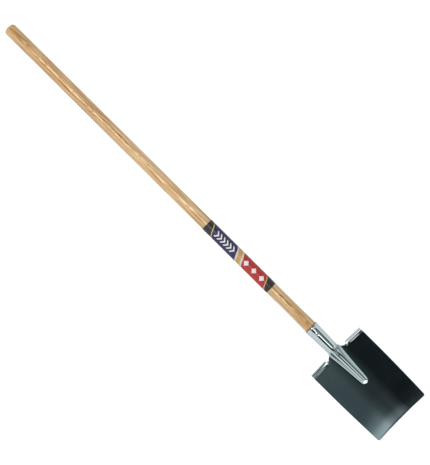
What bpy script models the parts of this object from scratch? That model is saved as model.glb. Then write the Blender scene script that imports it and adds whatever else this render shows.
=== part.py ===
"""A long-handled digging spade, lying on its back with the dished front of its blade up.

The head is one pressed sheet of steel: a closed tapered socket runs on as a hollow ridge that
dies out half way down a dished blade, and the blade's top corners are rolled forward as treads.
A tapered ash shaft sits in the socket, held by one rivet, and a printed film is wrapped round it.

+X runs from the shaft's butt to the cutting edge and +Z is up. The origin is on the ground, under
the middle of the bounding box.
"""

import math

import bmesh
import bpy
from mathutils import Vector

# Shaft
SHAFT_LENGTH = 1.270
SHAFT_DIAMETER = 0.0363
SHAFT_SWELL = 0.0013
SHAFT_SWELL_LENGTH = 0.060
BUTT_ROUNDING = 0.004
SHAFT_END_CHAMFER = 0.0015

# Socket, from its mouth to its neck
SHEET = 0.002
SHAFT_GRIP = 0.080
SOCKET_LENGTH = 0.083
SOCKET_TAPER = 0.0058
SOCKET_GROUND_CLEARANCE = 0.003

# Shoulder, from the neck to the top of the blade
SHOULDER_LENGTH = 0.016

# Blade
BLADE_LENGTH = 0.264
BLADE_WIDTH = 0.190
EDGE_WIDTH = 0.182
EDGE_TAPER_LENGTH = 0.200
CORNER_RADIUS = 0.0065
DISH_DEPTH = 0.0095
FLAT_STRIP_WIDTH = 0.030
LIP_LENGTH = 0.090
LIP_RISE = 0.007

# Ridge
RIDGE_LENGTH = 0.127
RIDGE_WIDTH = 0.0415
RIDGE_NOSE_WIDTH = 0.0230
RIDGE_NOSE_HEIGHT = 0.008
RIDGE_BEND_LENGTH = 0.030
CROWN_RADIUS = 0.011
CROWN_NOSE_RADIUS = 0.008
FOOT_FILLET = 0.005

# Treads
TREAD_LENGTH = 0.053
TREAD_EASY_RADIUS = 0.016
TREAD_EASY_ANGLE = math.radians(40)
TREAD_TURN_RADIUS = 0.0045
TREAD_ROLL_RADIUS = 0.0030
TREAD_LIP = 0.0012
TREAD_FLARE = 0.0015
TREAD_RELIEF = 0.0015
TREAD_RELIEF_WIDTH = 0.008

# Rivet
RIVET_DIAMETER = 0.005
RIVET_FROM_MOUTH = 0.022
RIVET_HEAD_DIAMETER = 0.0125
RIVET_HEAD_HEIGHT = 0.0030
RIVET_CLENCH_DIAMETER = 0.0100
RIVET_CLENCH_HEIGHT = 0.0016

# Label
LABEL_LENGTH = 0.252
LABEL_FROM_MOUTH = 0.152
LABEL_FILM = 0.0004

# Clearance between pieces that touch
FIT = 0.0003

# Steps of the round stretches
ROUND_STEPS = 48
RIVET_STEPS = 24
CORNER_STEPS = 4
CROWN_STEPS = 5
FLANK_STEPS = 2
FILLET_STEPS = 4
HALF_SECTION_STEPS = CROWN_STEPS + FLANK_STEPS + FILLET_STEPS
REAR_STEPS = 10
SHOULDER_STEPS = 6
RIDGE_STEPS = 8
NOSE_STEPS = 6
MIDDLE_STEPS = 2
LIP_STEPS = 5
NECKSIDE_STEPS = 6
RELIEF_STEPS = 3
TREAD_STEPS = 5
TREAD_EASY_STEPS = 4
TREAD_TURN_STEPS = 3
TREAD_ROLL_STEPS = 4

# Places along the spade, from the butt
MOUTH_X = SHAFT_LENGTH - SHAFT_GRIP
NECK_X = MOUTH_X + SOCKET_LENGTH
SHOULDER_X = NECK_X + SHOULDER_LENGTH
NOSE_X = SHOULDER_X + RIDGE_LENGTH - RIDGE_NOSE_WIDTH / 2
EDGE_X = SHOULDER_X + BLADE_LENGTH
LIP_X = EDGE_X - LIP_LENGTH
RIVET_X = MOUTH_X + RIVET_FROM_MOUTH

# The shaft's axis, which rises from the butt to the socket
SHAFT_RADIUS = SHAFT_DIAMETER / 2
SHAFT_MOUTH_RADIUS = SHAFT_RADIUS + SHAFT_SWELL / 2
MOUTH_RADIUS = SHAFT_MOUTH_RADIUS + FIT + SHEET
MOUTH_AXIS_HEIGHT = SOCKET_GROUND_CLEARANCE + MOUTH_RADIUS
AXIS_SLOPE = (MOUTH_AXIS_HEIGHT - SHAFT_RADIUS) / (MOUTH_X - BUTT_ROUNDING)
AXIS_TILT = math.atan(AXIS_SLOPE)

# The tread's places below the shoulder: its fold, and the start of the easy bend that leads to it
FOLD_DEPTH = TREAD_TURN_RADIUS * (1 - math.sin(TREAD_EASY_ANGLE)) + SHEET
EASY_DEPTH = FOLD_DEPTH + TREAD_EASY_RADIUS * math.sin(TREAD_EASY_ANGLE)
TREAD_INNER_Y = BLADE_WIDTH / 2 + TREAD_FLARE - TREAD_LENGTH


def clamp01(value):
    return min(1.0, max(0.0, value))


def ease(value):
    """Goes from 0 to 1 with no slope at either end."""
    t = clamp01(value)
    return t * t * (3 - 2 * t)


def mix(a, b, t):
    return a + (b - a) * t


def axis_height(x):
    return SHAFT_RADIUS + AXIS_SLOPE * (x - BUTT_ROUNDING)


def socket_radius(x):
    """The outer radius of the socket's cone, which the ridge's crown carries on from."""
    return MOUTH_RADIUS - SOCKET_TAPER / 2 * (x - MOUTH_X) / SOCKET_LENGTH


def blade_height(x, y):
    """The height of the blade's front, above a back that is flat where the spade rests."""
    dish_run = (BLADE_WIDTH - FLAT_STRIP_WIDTH) / 2
    across = max(0.0, abs(y) - FLAT_STRIP_WIDTH / 2) / dish_run
    along = max(0.0, x - LIP_X) / LIP_LENGTH
    return SHEET + DISH_DEPTH * across**2 + LIP_RISE * along**2


def blade_half_width(x):
    """Half the blade's width: parallel sides, a taper towards the edge and a round corner."""
    taper = max(0.0, x - (EDGE_X - EDGE_TAPER_LENGTH)) / EDGE_TAPER_LENGTH
    half = (BLADE_WIDTH - (BLADE_WIDTH - EDGE_WIDTH) * taper**2) / 2
    into_corner = max(0.0, x - (EDGE_X - CORNER_RADIUS))
    return half - CORNER_RADIUS + math.sqrt(max(0.0, CORNER_RADIUS**2 - into_corner**2))


def cone_top(x):
    """The height of the top line of the socket's cone."""
    return axis_height(x) + socket_radius(x)


def bent_run(x):
    """The length past the neck over which the crown falls, less what its bend takes up."""
    run = max(0.0, x - NECK_X)
    if run < RIDGE_BEND_LENGTH:
        return run**2 / (2 * RIDGE_BEND_LENGTH)
    return run - RIDGE_BEND_LENGTH / 2


def crown_fall():
    """The slope by which the ridge's crown leaves the cone's top line to reach the nose."""
    nose_top = blade_height(NOSE_X, 0) + RIDGE_NOSE_HEIGHT
    return (cone_top(NOSE_X) - nose_top) / bent_run(NOSE_X)


def crown_height(x):
    """The height of the socket's and the ridge's top line: a cone, a bend and a slope."""
    return cone_top(x) - crown_fall() * bent_run(x)


class RidgeSection:
    """Half a cross-section of the ridge's front: crown arc, straight flank and foot fillet."""

    def __init__(self, x):
        t = clamp01((x - SHOULDER_X) / (NOSE_X - SHOULDER_X))
        self.crown = mix(CROWN_RADIUS, CROWN_NOSE_RADIUS, t)
        self.foot = mix(RIDGE_NOSE_WIDTH, RIDGE_WIDTH, (1 - t) ** 1.65) / 2
        self.base = blade_height(x, self.foot)
        self.centre = crown_height(x) - self.crown
        drop = self.base - self.centre
        self.flank = math.asin(self.crown / math.hypot(self.foot, drop))
        self.flank -= math.atan2(drop, self.foot)
        self.crown_end = self.crown * math.sin(self.flank)
        self.outer = self.foot + FOOT_FILLET * math.tan(self.flank / 2)
        self.fillet_start = self.outer - FOOT_FILLET * math.sin(self.flank)

    def rise(self, y):
        """The height above the blade's front at a distance y from the middle."""
        if y <= self.crown_end:
            return self.centre + math.sqrt(self.crown**2 - y**2) - self.base
        if y <= self.fillet_start:
            return (self.foot - y) * math.tan(self.flank)
        if y < self.outer:
            return FOOT_FILLET - math.sqrt(FOOT_FILLET**2 - (self.outer - y) ** 2)
        return 0.0

    def places(self):
        """Distances from the middle for the section's points, closer together on its bends."""
        places = []
        for i in range(CROWN_STEPS):
            places.append(self.crown * math.sin(self.flank * i / CROWN_STEPS))
        for i in range(FLANK_STEPS):
            places.append(mix(self.crown_end, self.fillet_start, i / FLANK_STEPS))
        for i in range(FILLET_STEPS + 1):
            a = self.flank * (1 - i / FILLET_STEPS)
            places.append(self.outer - FOOT_FILLET * math.sin(a))
        return places


def ridge_section(x):
    """Half a cross-section of the ridge, or of its nose, where the section turns about its end."""
    section = RidgeSection(min(x, NOSE_X))
    past_nose = max(0.0, x - NOSE_X)
    fall = crown_fall() - AXIS_SLOPE + SOCKET_TAPER / 2 / SOCKET_LENGTH
    evenness = clamp01(3 * past_nose / section.outer)
    points = []
    for i, place in enumerate(section.places()):
        y = mix(place, section.outer * i / HALF_SECTION_STEPS, evenness)
        rise = section.rise(math.hypot(past_nose, y))
        rise *= max(0.0, 1 - fall * past_nose / RIDGE_NOSE_HEIGHT)
        points.append(Vector((x, y, blade_height(x, y) + rise)))
    return points


def socket_section(x, first_angle, last_angle, steps):
    """An arc of the socket's outer surface, its angles counted from the front's middle line."""
    radius = socket_radius(x)
    points = []
    for i in range(steps + 1):
        a = mix(first_angle, last_angle, i / steps)
        height = axis_height(x) + radius * math.cos(a)
        points.append(Vector((x, radius * math.sin(a), height)))
    return points


def front_section(x):
    """Half the head's middle strip at x: round on the socket, and the ridge's shape below it."""
    ring = socket_section(x, 0, math.pi / 2, HALF_SECTION_STEPS)
    if x <= NECK_X:
        return ring
    ridge = ridge_section(x)
    t = ease((x - NECK_X) / SHOULDER_LENGTH)
    return [a.lerp(b, t) for a, b in zip(ring, ridge)]


def stations(first, last, steps):
    return [mix(first, last, i / steps) for i in range(1, steps + 1)]


def blade_stations():
    """The rows of the blade, closer together where its surface turns."""
    corner_x = EDGE_X - CORNER_RADIUS
    rows = [SHOULDER_X]
    nose_end_x = NOSE_X + RidgeSection(NOSE_X).outer
    rows += stations(SHOULDER_X, SHOULDER_X + EASY_DEPTH - FOLD_DEPTH, TREAD_EASY_STEPS)
    rows += stations(rows[-1], NOSE_X, RIDGE_STEPS)
    rows += stations(NOSE_X, nose_end_x, NOSE_STEPS)
    rows += stations(nose_end_x, LIP_X, MIDDLE_STEPS)
    rows += stations(LIP_X, corner_x, LIP_STEPS)
    for i in range(1, CORNER_STEPS + 1):
        rows.append(corner_x + CORNER_RADIUS * math.sin(math.pi / 2 * i / CORNER_STEPS))
    return rows


def top_edge_setback(y, ridge_foot_y):
    """How far the blade's top edge lies below the shoulder, on the way out to the tread."""
    if y >= TREAD_INNER_Y:
        return FOLD_DEPTH
    run = TREAD_INNER_Y - TREAD_RELIEF_WIDTH - ridge_foot_y
    return (FOLD_DEPTH + TREAD_RELIEF) * ease((y - ridge_foot_y) / run)


def easy_bend_rise(x, y):
    """How far the easy bend below the tread lifts the blade, fading out in the relief."""
    start = SHOULDER_X + EASY_DEPTH
    run = min(max(0.0, start - x), TREAD_EASY_RADIUS * math.sin(TREAD_EASY_ANGLE))
    nearness = ease((y - TREAD_INNER_Y) / TREAD_RELIEF_WIDTH + 1)
    return nearness * (TREAD_EASY_RADIUS - math.sqrt(TREAD_EASY_RADIUS**2 - run**2))


def wing_row(x, ridge_foot_y):
    """One row of the blade outside the ridge's foot, from the foot to the blade's side."""
    half_width = blade_half_width(x)
    relief_y = TREAD_INNER_Y - TREAD_RELIEF_WIDTH
    places = [ridge_foot_y]
    places += stations(ridge_foot_y, relief_y, NECKSIDE_STEPS - RELIEF_STEPS)
    places += stations(relief_y, TREAD_INNER_Y, RELIEF_STEPS)
    places += stations(TREAD_INNER_Y, half_width, TREAD_STEPS)
    nearness = max(0.0, 1 - (x - SHOULDER_X) / (NOSE_X - SHOULDER_X)) ** 2
    points = []
    for y in places[1:]:
        along = x + nearness * top_edge_setback(y, ridge_foot_y)
        height = blade_height(along, y) + easy_bend_rise(along, y)
        points.append(Vector((along, y, height)))
    return points


def tread_profile():
    """A tread's inner line from its fold on: a turn until it stands upright, a roll and a lip."""
    upright = math.pi / 2
    line = []
    for i in range(1, TREAD_TURN_STEPS + 1):
        a = mix(TREAD_EASY_ANGLE, upright, i / TREAD_TURN_STEPS)
        back = TREAD_TURN_RADIUS * (math.sin(a) - math.sin(TREAD_EASY_ANGLE))
        line.append((-back, TREAD_TURN_RADIUS * (math.cos(TREAD_EASY_ANGLE) - math.cos(a))))
    top = line[-1]
    for i in range(1, TREAD_ROLL_STEPS + 1):
        a = mix(upright, math.pi, i / TREAD_ROLL_STEPS)
        forward = TREAD_ROLL_RADIUS * (1 - math.sin(a))
        line.append((top[0] + forward, top[1] - TREAD_ROLL_RADIUS * math.cos(a)))
    line.append((line[-1][0] + TREAD_LIP, line[-1][1]))
    return line


def tread_rows(fold_edge):
    """The rows of a tread's inner surface past its fold, flared towards its outer end."""
    rows = []
    profile = tread_profile()
    for forward, up in profile:
        row = []
        for i, start in enumerate(fold_edge):
            flare = TREAD_FLARE * up / profile[-1][1] * (i / (len(fold_edge) - 1)) ** 2
            row.append(Vector((start.x + forward, start.y + flare, start.z + up)))
        rows.append(row)
    return rows


def add_rows(mesh, rows):
    """Joins rows of vertices with quads."""
    for above, below in zip(rows, rows[1:]):
        for i in range(len(above) - 1):
            mesh.faces.new((above[i], below[i], below[i + 1], above[i + 1]))


def head_surface():
    """The right half of the head's front surface, as one open sheet."""
    mesh = bmesh.new()

    def vertices(points):
        return [mesh.verts.new(p) for p in points]

    socket_rows = [MOUTH_X, RIVET_X, NECK_X]
    shoulder_rows = stations(NECK_X, SHOULDER_X, SHOULDER_STEPS)
    blade_rows = blade_stations()
    front = [vertices(front_section(x)) for x in socket_rows + shoulder_rows + blade_rows[1:]]
    add_rows(mesh, front)

    rear = []
    for x, row in zip(socket_rows, front):
        arc = socket_section(x, math.pi / 2, math.pi, REAR_STEPS)
        rear.append([row[-1]] + vertices(arc[1:]))
    add_rows(mesh, rear)

    wing = []
    first_blade_row = len(socket_rows) + len(shoulder_rows) - 1
    for x, row in zip(blade_rows, front[first_blade_row:]):
        wing.append([row[-1]] + vertices(wing_row(x, row[-1].co.y)))
    add_rows(mesh, wing)

    fold_edge = wing[0][NECKSIDE_STEPS:]
    tread = [fold_edge] + [vertices(row) for row in tread_rows([v.co for v in fold_edge])]
    add_rows(mesh, list(reversed(tread)))

    data = bpy.data.meshes.new("head")
    mesh.to_mesh(data)
    mesh.free()
    return data


def material(name, colour, metallic, roughness):
    made = bpy.data.materials.new(name)
    made.use_nodes = True
    shader = made.node_tree.nodes["Principled BSDF"]
    shader.inputs["Base Color"].default_value = (*colour, 1.0)
    shader.inputs["Metallic"].default_value = metallic
    shader.inputs["Roughness"].default_value = roughness
    return made


def collection(name):
    made = bpy.data.collections.new(name)
    bpy.context.scene.collection.children.link(made)
    return made


def add_piece(name, data, finish, group, parent):
    piece = bpy.data.objects.new(name, data)
    group.objects.link(piece)
    piece.parent = parent
    data.materials.append(finish)
    return piece


def smooth(data):
    data.shade_smooth()
    data.set_sharp_from_angle(angle=math.radians(40))


def turned_piece(name, profile, steps, finish, group, parent):
    """Turns a profile of (radius, height) points, listed from the top down, about its Z axis."""
    data = bpy.data.meshes.new(name)
    points = [(radius, 0, height) for radius, height in profile]
    data.from_pydata(points, [(i, i + 1) for i in range(len(points) - 1)], [])
    piece = add_piece(name, data, finish, group, parent)
    turn = piece.modifiers.new("turn", "SCREW")
    turn.steps = steps
    turn.render_steps = steps
    turn.use_merge_vertices = True
    turn.merge_threshold = 0.00005
    turn.use_smooth_shade = True
    return piece


def arc_points(centre, radii, first_angle, last_angle, steps):
    """Points on an arc of a circle or ellipse, its angles counted from the profile's radius."""
    points = []
    for i in range(steps + 1):
        a = mix(first_angle, last_angle, i / steps)
        points.append((centre[0] + radii[0] * math.cos(a), centre[1] + radii[1] * math.sin(a)))
    return points


def cut_rivet_hole(piece, name, radius, span, cutters, parent):
    """Cuts the rivet's hole through a piece, square to the shaft."""
    bpy.ops.mesh.primitive_cylinder_add(vertices=RIVET_STEPS, radius=radius, depth=span)
    cutter = bpy.context.object
    cutter.name = name
    cutter.data.name = name
    for group in list(cutter.users_collection):
        group.objects.unlink(cutter)
    cutters.objects.link(cutter)
    cutter.parent = parent
    cutter.location = (RIVET_X, 0, axis_height(RIVET_X))
    cutter.rotation_euler = (0, -AXIS_TILT, 0)
    cutter.hide_render = True
    cutter.display_type = "WIRE"
    cut = piece.modifiers.new("rivet hole", "BOOLEAN")
    cut.operation = "DIFFERENCE"
    cut.solver = "EXACT"
    cut.object = cutter


def make_shaft(group, cutters, parent):
    """The ash shaft: round butt edge, a slight swell at the socket and a tapered end inside it."""
    inner_radius = socket_radius(SHAFT_LENGTH) - SHEET - FIT
    profile = [(0, SHAFT_LENGTH), (inner_radius - SHAFT_END_CHAMFER, SHAFT_LENGTH)]
    profile.append((inner_radius, SHAFT_LENGTH - SHAFT_END_CHAMFER))
    profile.append((SHAFT_MOUTH_RADIUS, MOUTH_X))
    swell_steps = 4
    for i in range(1, swell_steps + 1):
        t = i / swell_steps
        radius = mix(SHAFT_MOUTH_RADIUS, SHAFT_RADIUS, ease(t))
        profile.append((radius, MOUTH_X - SHAFT_SWELL_LENGTH * t))
    rim = (SHAFT_RADIUS - BUTT_ROUNDING, BUTT_ROUNDING)
    radii = (BUTT_ROUNDING, BUTT_ROUNDING)
    profile += arc_points(rim, radii, 0, -math.pi / 2, CORNER_STEPS)
    profile.append((0, 0))
    ash = material("oiled_ash", (0.64, 0.42, 0.20), 0.0, 0.45)
    shaft = turned_piece("shaft", profile, ROUND_STEPS, ash, group, parent)
    shaft.location = (0, 0, axis_height(0))
    shaft.rotation_euler = (0, math.pi / 2 - AXIS_TILT, 0)
    hole_radius = RIVET_DIAMETER / 2 + FIT
    span = 3 * SHAFT_DIAMETER
    cut_rivet_hole(shaft, "shaft_rivet_hole", hole_radius, span, cutters, parent)


def make_head(group, cutters, parent):
    """The pressed steel head: its right half mirrored, given its thickness and drilled."""
    steel = material("polished_steel", (0.60, 0.62, 0.62), 1.0, 0.12)
    data = head_surface()
    head = add_piece("head", data, steel, group, parent)
    mirror = head.modifiers.new("other half", "MIRROR")
    mirror.use_axis = (False, True, False)
    mirror.use_clip = True
    mirror.merge_threshold = 0.00005
    shell = head.modifiers.new("sheet", "SOLIDIFY")
    shell.thickness = SHEET
    shell.offset = -1
    shell.use_even_offset = True
    smooth(data)
    hole_radius = RIVET_DIAMETER / 2 + FIT
    span = 3 * SHAFT_DIAMETER
    cut_rivet_hole(head, "head_rivet_hole", hole_radius, span, cutters, parent)


def make_rivet(group, parent):
    """The rivet: a domed head on the socket's front and a low clench on its back."""
    head_radius = RIVET_HEAD_DIAMETER / 2
    clench_radius = RIVET_CLENCH_DIAMETER / 2
    shank = RIVET_DIAMETER / 2
    head_seat = socket_radius(RIVET_X - head_radius) + FIT
    clench_seat = socket_radius(RIVET_X - clench_radius) + FIT
    dome_steps = 6
    dome = arc_points((0, head_seat), (head_radius, RIVET_HEAD_HEIGHT), math.pi / 2, 0, dome_steps)
    clench = arc_points(
        (0, -clench_seat), (clench_radius, RIVET_CLENCH_HEIGHT), 0, -math.pi / 2, dome_steps
    )
    profile = [(abs(r), h) for r, h in dome] + [(shank, head_seat), (shank, -clench_seat)]
    profile += [(abs(r), h) for r, h in clench]
    plated = material("plated_steel", (0.66, 0.67, 0.67), 1.0, 0.2)
    rivet = turned_piece("rivet", profile, RIVET_STEPS, plated, group, parent)
    rivet.location = (RIVET_X, 0, axis_height(RIVET_X))
    rivet.rotation_euler = (0, -AXIS_TILT, 0)


def make_label(group, parent):
    """The printed film wrapped round the shaft, above the socket."""
    middle = MOUTH_X - LABEL_FROM_MOUTH - LABEL_LENGTH / 2
    bpy.ops.mesh.primitive_cylinder_add(
        vertices=ROUND_STEPS, radius=SHAFT_RADIUS + FIT, depth=LABEL_LENGTH, end_fill_type="NOTHING"
    )
    made = bpy.context.object
    data = made.data
    bpy.data.objects.remove(made)
    data.name = "label"
    film = material("printed_film", (0.10, 0.08, 0.16), 0.0, 0.35)
    label = add_piece("label", data, film, group, parent)
    label.location = (middle, 0, axis_height(middle))
    label.rotation_euler = (0, math.pi / 2 - AXIS_TILT, 0)
    wrap = label.modifiers.new("film", "SOLIDIFY")
    wrap.thickness = LABEL_FILM
    wrap.offset = 1
    wrap.use_even_offset = True
    smooth(data)


def build():
    for thing in list(bpy.data.objects):
        bpy.data.objects.remove(thing)
    spade = collection("long_handled_spade")
    cutters = collection("cutters")
    butt = bpy.data.objects.new("butt", None)
    spade.objects.link(butt)
    butt.location = (-EDGE_X / 2, 0, 0)
    make_shaft(spade, cutters, butt)
    make_head(spade, cutters, butt)
    make_rivet(spade, butt)
    make_label(spade, butt)
    print(f"overall length {EDGE_X * 1000:.0f} mm, shaft rises {math.degrees(AXIS_TILT):.2f} degrees")


build()
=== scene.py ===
# %% [markdown]
# # A long-handled digging spade
#
# The spade lies on its back on a white floor, seen from straight above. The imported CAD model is
# the fixed frame: it says where the shaft, the head, the rivet and the wrap are. Each of them is
# modelled again here with finer forms, and then gets the finish of the real material.

import math

import bpy
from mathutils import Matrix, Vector


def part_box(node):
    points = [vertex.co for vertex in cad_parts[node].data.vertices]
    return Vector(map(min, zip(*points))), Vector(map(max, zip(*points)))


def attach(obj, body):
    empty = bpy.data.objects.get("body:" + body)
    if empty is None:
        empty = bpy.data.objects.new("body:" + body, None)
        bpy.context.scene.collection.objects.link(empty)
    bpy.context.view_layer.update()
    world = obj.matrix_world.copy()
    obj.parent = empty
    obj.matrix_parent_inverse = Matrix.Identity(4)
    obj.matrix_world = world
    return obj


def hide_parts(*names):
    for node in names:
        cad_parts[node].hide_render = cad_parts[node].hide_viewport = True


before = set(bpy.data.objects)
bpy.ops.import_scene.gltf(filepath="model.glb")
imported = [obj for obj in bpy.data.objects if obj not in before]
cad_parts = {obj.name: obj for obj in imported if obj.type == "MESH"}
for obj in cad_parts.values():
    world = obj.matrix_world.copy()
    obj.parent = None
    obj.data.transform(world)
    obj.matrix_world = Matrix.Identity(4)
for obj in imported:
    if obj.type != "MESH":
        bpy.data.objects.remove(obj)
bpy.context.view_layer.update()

# %% [markdown]
# ## Places
#
# The spade lies along X, from the shaft's butt to the cutting edge. The mouth of the CAD head
# gives the first place and the real lengths give the others, so that every new piece lands on
# the node it stands for. The shaft rises a little towards the head, because the socket is
# thicker than the shaft.

# %% Places along the spade
MM = 0.001
SHEET = 2 * MM
FIT = 0.3 * MM
SHAFT_RADIUS = 18.15 * MM
SHAFT_LENGTH = 1270 * MM
SHAFT_GRIP = 80 * MM
SOCKET_LENGTH = 83 * MM
SHOULDER_LENGTH = 16 * MM
BLADE_LENGTH = 264 * MM
# The rim leans with the cone, so the head's box starts a little before the mouth.
RIM_LEAN = 0.09 * MM
MOUTH_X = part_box("head")[0].x + RIM_LEAN
BUTT_X = MOUTH_X - SHAFT_LENGTH + SHAFT_GRIP
NECK_X = MOUTH_X + SOCKET_LENGTH
SHOULDER_X = NECK_X + SHOULDER_LENGTH
EDGE_X = SHOULDER_X + BLADE_LENGTH
MOUTH_RADIUS = 21.1 * MM
MOUTH_AXIS_HEIGHT = 24.1 * MM
BUTT_ROUNDING = 4 * MM
AXIS_RISE = (MOUTH_AXIS_HEIGHT - SHAFT_RADIUS) / (MOUTH_X - BUTT_X - BUTT_ROUNDING)
AXIS_TILT = math.atan(AXIS_RISE)
print(f"mouth at {MOUTH_X:.4f}, edge at {EDGE_X:.4f}")
print(f"the shaft rises {math.degrees(AXIS_TILT):.2f} degrees")


def axis_height(x):
    return SHAFT_RADIUS + AXIS_RISE * (x - BUTT_X - BUTT_ROUNDING)


def mix(a, b, t):
    return a + (b - a) * t


def ease(value):
    t = min(1.0, max(0.0, value))
    return t * t * (3 - 2 * t)


# %% [markdown]
# ## Working by hand
#
# Every step below is one that a person does in edit mode: choose some points by where they are,
# and then extrude, spin, bridge, turn or scale them. An operator acts on all that is selected,
# so each helper first clears the selection.

# %% Choosing and finishing
NEAR = 0.01 * MM


def deselect_all():
    for thing in bpy.context.selected_objects:
        thing.select_set(False)


def activate(piece):
    deselect_all()
    piece.select_set(True)
    bpy.context.view_layer.objects.active = piece


def choose_points(piece, wanted):
    """Selects the points for which wanted(place) is true, with the edges between them."""
    activate(piece)
    bpy.ops.object.mode_set(mode="EDIT")
    bpy.ops.mesh.select_mode(type="VERT")
    bpy.ops.mesh.select_all(action="DESELECT")
    bpy.ops.object.mode_set(mode="OBJECT")
    for point in piece.data.vertices:
        point.select = bool(wanted(point.co))
    bpy.ops.object.mode_set(mode="EDIT")


def leave_edit_mode():
    bpy.ops.object.mode_set(mode="OBJECT")


def apply_place(piece):
    """Puts the object at the origin, unturned, with its place in its mesh."""
    activate(piece)
    bpy.ops.object.transform_apply(location=True, rotation=True, scale=True)


def add_modifier(piece, kind, **settings):
    made = piece.modifiers.new(kind.lower(), kind)
    for name, value in settings.items():
        setattr(made, name, value)
    activate(piece)
    bpy.ops.object.modifier_apply(modifier=made.name)


def draw_row(points):
    """Draws an open line through the points: a single point is extruded from place to place."""
    bpy.ops.mesh.primitive_plane_add(size=MM, location=points[0])
    bpy.ops.mesh.merge(type="CENTER")
    for a, b in zip(points, points[1:]):
        bpy.ops.mesh.extrude_region_move(TRANSFORM_OT_translate={"value": b - a})


def new_drawing(name):
    """An empty mesh object at the origin, in edit mode, to draw rows in."""
    deselect_all()
    bpy.ops.mesh.primitive_plane_add(size=MM)
    piece = bpy.context.object
    piece.name = name
    piece.data.name = name
    bpy.ops.object.mode_set(mode="EDIT")
    bpy.ops.mesh.delete(type="VERT")
    return piece


def merge_and_face_out(piece):
    """Merges what meets, and turns the faces so that the highest one looks up."""
    activate(piece)
    bpy.ops.object.mode_set(mode="EDIT")
    bpy.ops.mesh.select_all(action="SELECT")
    bpy.ops.mesh.remove_doubles(threshold=NEAR)
    bpy.ops.mesh.normals_make_consistent(inside=False)
    leave_edit_mode()
    highest = max(piece.data.polygons, key=lambda face: face.center.z)
    if highest.normal.z < 0:
        bpy.ops.object.mode_set(mode="EDIT")
        bpy.ops.mesh.flip_normals()
        leave_edit_mode()


# %% [markdown]
# ## The head
#
# The head of a real spade is one sheet of steel, pressed hot over a former: a round socket that
# runs on as a hollow ridge down the front of a dished blade. A sculpted or remeshed surface
# would ripple, and polished steel shows every ripple in its reflections. So the sheet is lofted
# as a boat's hull is: its cross-sections are drawn one by one and bridged in pairs. Only one half
# is drawn, flat, and a mirror adds the other, as both halves are alike.
#
# This cell holds the head's sizes.

# %% Sizes of the head
SOCKET_TAPER = 5.8 * MM
BEAD_LENGTH = 3.2 * MM
BEAD_HEIGHT = 0.6 * MM
RIDGE_LENGTH = 127 * MM
RIDGE_HALF_WIDTH = 18.6 * MM
NOSE_HALF_WIDTH = 9.5 * MM
NOSE_X = SHOULDER_X + RIDGE_LENGTH - NOSE_HALF_WIDTH
NOSE_HEIGHT = 6.5 * MM
RIDGE_BEND_LENGTH = 30 * MM
CROWN_RADIUS = 11 * MM
CROWN_NOSE_RADIUS = 7.5 * MM
FOOT_FILLET = 5 * MM
BLADE_WIDTH = 192.2 * MM
EDGE_WIDTH = 183.6 * MM
EDGE_TAPER_LENGTH = 200 * MM
CORNER_RADIUS = 6.5 * MM
DISH_DEPTH = 9.5 * MM
FLAT_STRIP_WIDTH = 30 * MM
LIP_LENGTH = 90 * MM
LIP_RISE = 7 * MM
CROWN_STEPS = 6
FLANK_STEPS = 2
FILLET_STEPS = 4
STRIP_STEPS = CROWN_STEPS + FLANK_STEPS + FILLET_STEPS
# The shoulder reaches the ridge's form before its end, and the ridge narrows fastest at first.
SHOULDER_PACE = 1.2
RIDGE_NARROWING = 1.8
print(f"ridge from {SHOULDER_X:.4f} to {NOSE_X + NOSE_HALF_WIDTH:.4f}")

# %% [markdown]
# ### The ridge's cross-section
#
# Across the ridge the pressing has a round crown, a straight flank on each side and a small
# fillet at its foot. The crown's top line runs on from the socket's cone, bends down and falls
# in a straight slope to a round nose. At the nose the section turns about its own end, so that
# the nose is as round from above as it is from the side.

# %% Cross-sections of the socket and the ridge
def socket_radius(x):
    return MOUTH_RADIUS - SOCKET_TAPER / 2 * (x - MOUTH_X) / SOCKET_LENGTH


def cone_top(x):
    return axis_height(x) + socket_radius(x)


def bent_run(x):
    run = max(0.0, x - NECK_X)
    if run < RIDGE_BEND_LENGTH:
        return run**2 / (2 * RIDGE_BEND_LENGTH)
    return run - RIDGE_BEND_LENGTH / 2


CROWN_FALL = (cone_top(NOSE_X) - SHEET - NOSE_HEIGHT) / bent_run(NOSE_X)


def crown_height(x):
    return cone_top(x) - CROWN_FALL * bent_run(x)


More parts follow.
